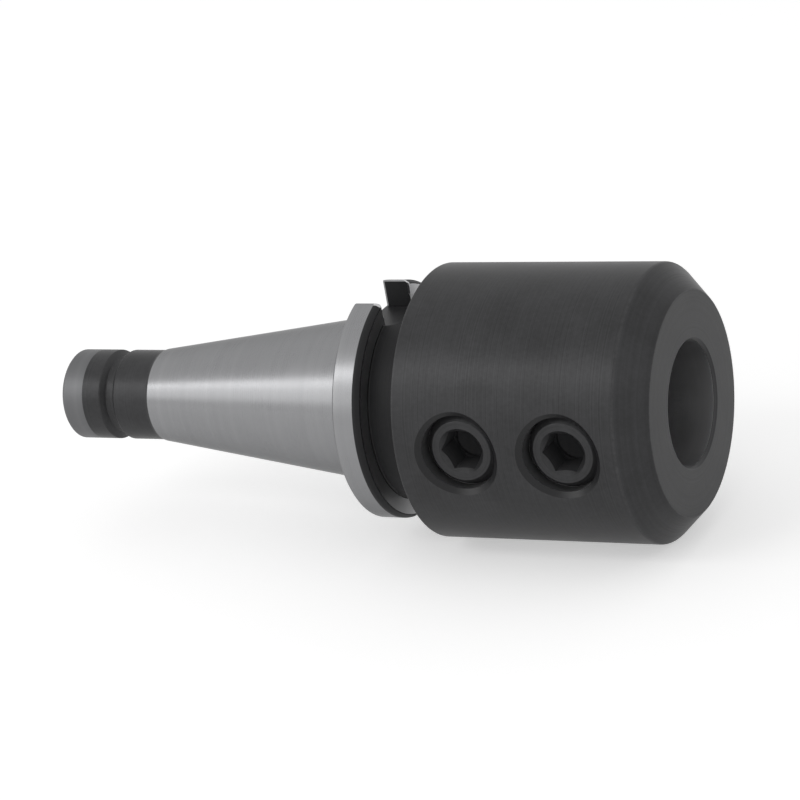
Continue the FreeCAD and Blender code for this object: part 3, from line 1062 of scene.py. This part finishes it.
@dataclass
class Studio:
    """White floor and surroundings, with soft lamps on the side of the screws."""

    floor_size: float = 6.0
    floor_gap: float = 0.3 * MM
    floor_white: float = 0.82
    floor_roughness: float = 0.9
    floor_lift: float = 0.46
    surround_light: float = 0.60

    def lay_floor(self) -> bpy.types.Object:
        """A plain white floor just under the body."""
        low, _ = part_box("holder_body")
        clear_selection()
        bpy.ops.mesh.primitive_plane_add(size=self.floor_size,
                                         location=(0, 0, low.z - self.floor_gap))
        floor = new_piece("studio_floor")
        sheet = NodeSheet("floor_paper")
        white = self.floor_white
        sheet.shade("Base Color", (white, white, white, 1.0))
        sheet.shade("Roughness", self.floor_roughness)
        sheet.shade("Specular IOR Level", 0.0)
        sheet.shade("Emission Color", WHITE)
        rays = sheet.node("ShaderNodeLightPath")
        seen = sheet.sum("MAXIMUM", rays.outputs["Is Camera Ray"], rays.outputs["Is Glossy Ray"])
        sheet.shade("Emission Strength", sheet.sum("MULTIPLY", seen, self.floor_lift))
        floor.data.materials.append(sheet.material)
        return floor

    def light_surround(self) -> bpy.types.World:
        """White all round as seen and mirrored, and gentler as a light."""
        world = bpy.data.worlds.new("white_surround")
        bpy.context.scene.world = world
        world.use_nodes = True
        tree = world.node_tree
        backdrop = tree.nodes["Background"]
        backdrop.inputs["Color"].default_value = WHITE
        rays = tree.nodes.new("ShaderNodeLightPath")
        either = tree.nodes.new("ShaderNodeMath")
        either.operation = "MAXIMUM"
        tree.links.new(rays.outputs["Is Camera Ray"], either.inputs[0])
        tree.links.new(rays.outputs["Is Glossy Ray"], either.inputs[1])
        seen = tree.nodes.new("ShaderNodeMath")
        seen.operation = "MAXIMUM"
        tree.links.new(either.outputs[0], seen.inputs[0])
        tree.links.new(rays.outputs["Is Transmission Ray"], seen.inputs[1])
        level = tree.nodes.new("ShaderNodeMapRange")
        tree.links.new(seen.outputs[0], level.inputs["Value"])
        level.inputs["To Min"].default_value = self.surround_light
        level.inputs["To Max"].default_value = 1.0
        tree.links.new(level.outputs["Result"], backdrop.inputs["Strength"])
        return world

    def hang_lamp(self, name: str, place: Place, aim: Place, size: tuple[float, float],
                  watts: float) -> bpy.types.Object:
        """A soft rectangular lamp, its long side level, that looks at a point."""
        lamp_data = bpy.data.lights.new(name, "AREA")
        lamp_data.shape = "RECTANGLE"
        lamp_data.size, lamp_data.size_y = size
        lamp_data.energy = watts
        lamp = bpy.data.objects.new(name, lamp_data)
        bpy.context.scene.collection.objects.link(lamp)
        towards = Vector(aim) - Vector(place)
        facing = towards.to_track_quat("-Z", "Y").to_matrix().to_4x4()
        lamp.matrix_world = Matrix.Translation(place) @ facing
        return lamp

    def build(self) -> None:
        """Set up the floor, the surroundings and the lamps."""
        self.lay_floor()
        self.light_surround()
        self.hang_lamp("strip_softbox", (-0.80, -0.60, 0.64), (-0.80, 0.0, 0.0), (1.3, 0.18), 2.15)
        self.hang_lamp("low_softbox", (-0.94, -0.80, 0.42), (-0.94, 0.0, 0.0), (1.0, 0.44), 1.55)
        self.hang_lamp("nose_softbox", (0.8, -0.25, 0.45), (0.0, 0.0, 0.0), (0.5, 0.5), 0.25)


@dataclass
class PhotoCamera:
    """The camera of the photograph, which looks at the holder from the side of its screws.

    Attributes:
        height_angle: how far the view looks down.
        turn: how far the camera has gone round towards the nose.
        roll: how far it is tipped about its own line of sight.
        distance: from the gauge plane's centre, along the line of sight.
        aim_right: from that centre to the line of sight, to the picture's right.
        aim_down: from that centre to the line of sight, down the picture.
        focal_length: of the lens, in millimetres, for the sensor's width.
        sensor_width: in millimetres.
    """

    height_angle: float = math.radians(23.65)
    turn: float = math.radians(27.04)
    roll: float = math.radians(-0.97)
    distance: float = 849.63 * MM
    aim_right: float = 4.745 * MM
    aim_down: float = 0.477 * MM
    focal_length: float = 144.0
    sensor_width: float = 36.0

    def build(self) -> bpy.types.Object:
        """Make the camera and choose it for the scene."""
        lens = bpy.data.cameras.new("photo_camera")
        lens.sensor_width = self.sensor_width
        lens.lens = self.focal_length
        lens.clip_start = 0.01
        lens.clip_end = 20.0
        camera = bpy.data.objects.new("photo_camera", lens)
        bpy.context.scene.collection.objects.link(camera)
        facing = (Matrix.Rotation(math.pi / 2 - self.height_angle, 4, "X") @
                  Matrix.Rotation(self.turn, 4, "Y") @ Matrix.Rotation(-self.roll, 4, "Z"))
        step_back = Vector((self.aim_right, -self.aim_down, self.distance))
        camera.matrix_world = Matrix.Translation(facing @ step_back) @ facing
        bpy.context.scene.camera = camera
        return camera


def main() -> None:
    """Build the pieces, the studio and the camera, and report the faces of each piece."""
    logging.basicConfig(level=logging.INFO, format="%(message)s")
    log = logging.getLogger("holder")
    bpy.context.scene.view_settings.view_transform = "Standard"
    screws = ClampScrews({"clamp_screw_front": "front_screw", "clamp_screw_rear": "rear_screw"})
    pieces = [HolderBody().build(list(screws.places.values()))]
    pieces += screws.build()
    for piece in pieces:
        log.info("%s: %d faces", piece.name, len(piece.data.polygons))
    Studio().build()
    PhotoCamera().build()


if __name__ == "__main__":
    main()
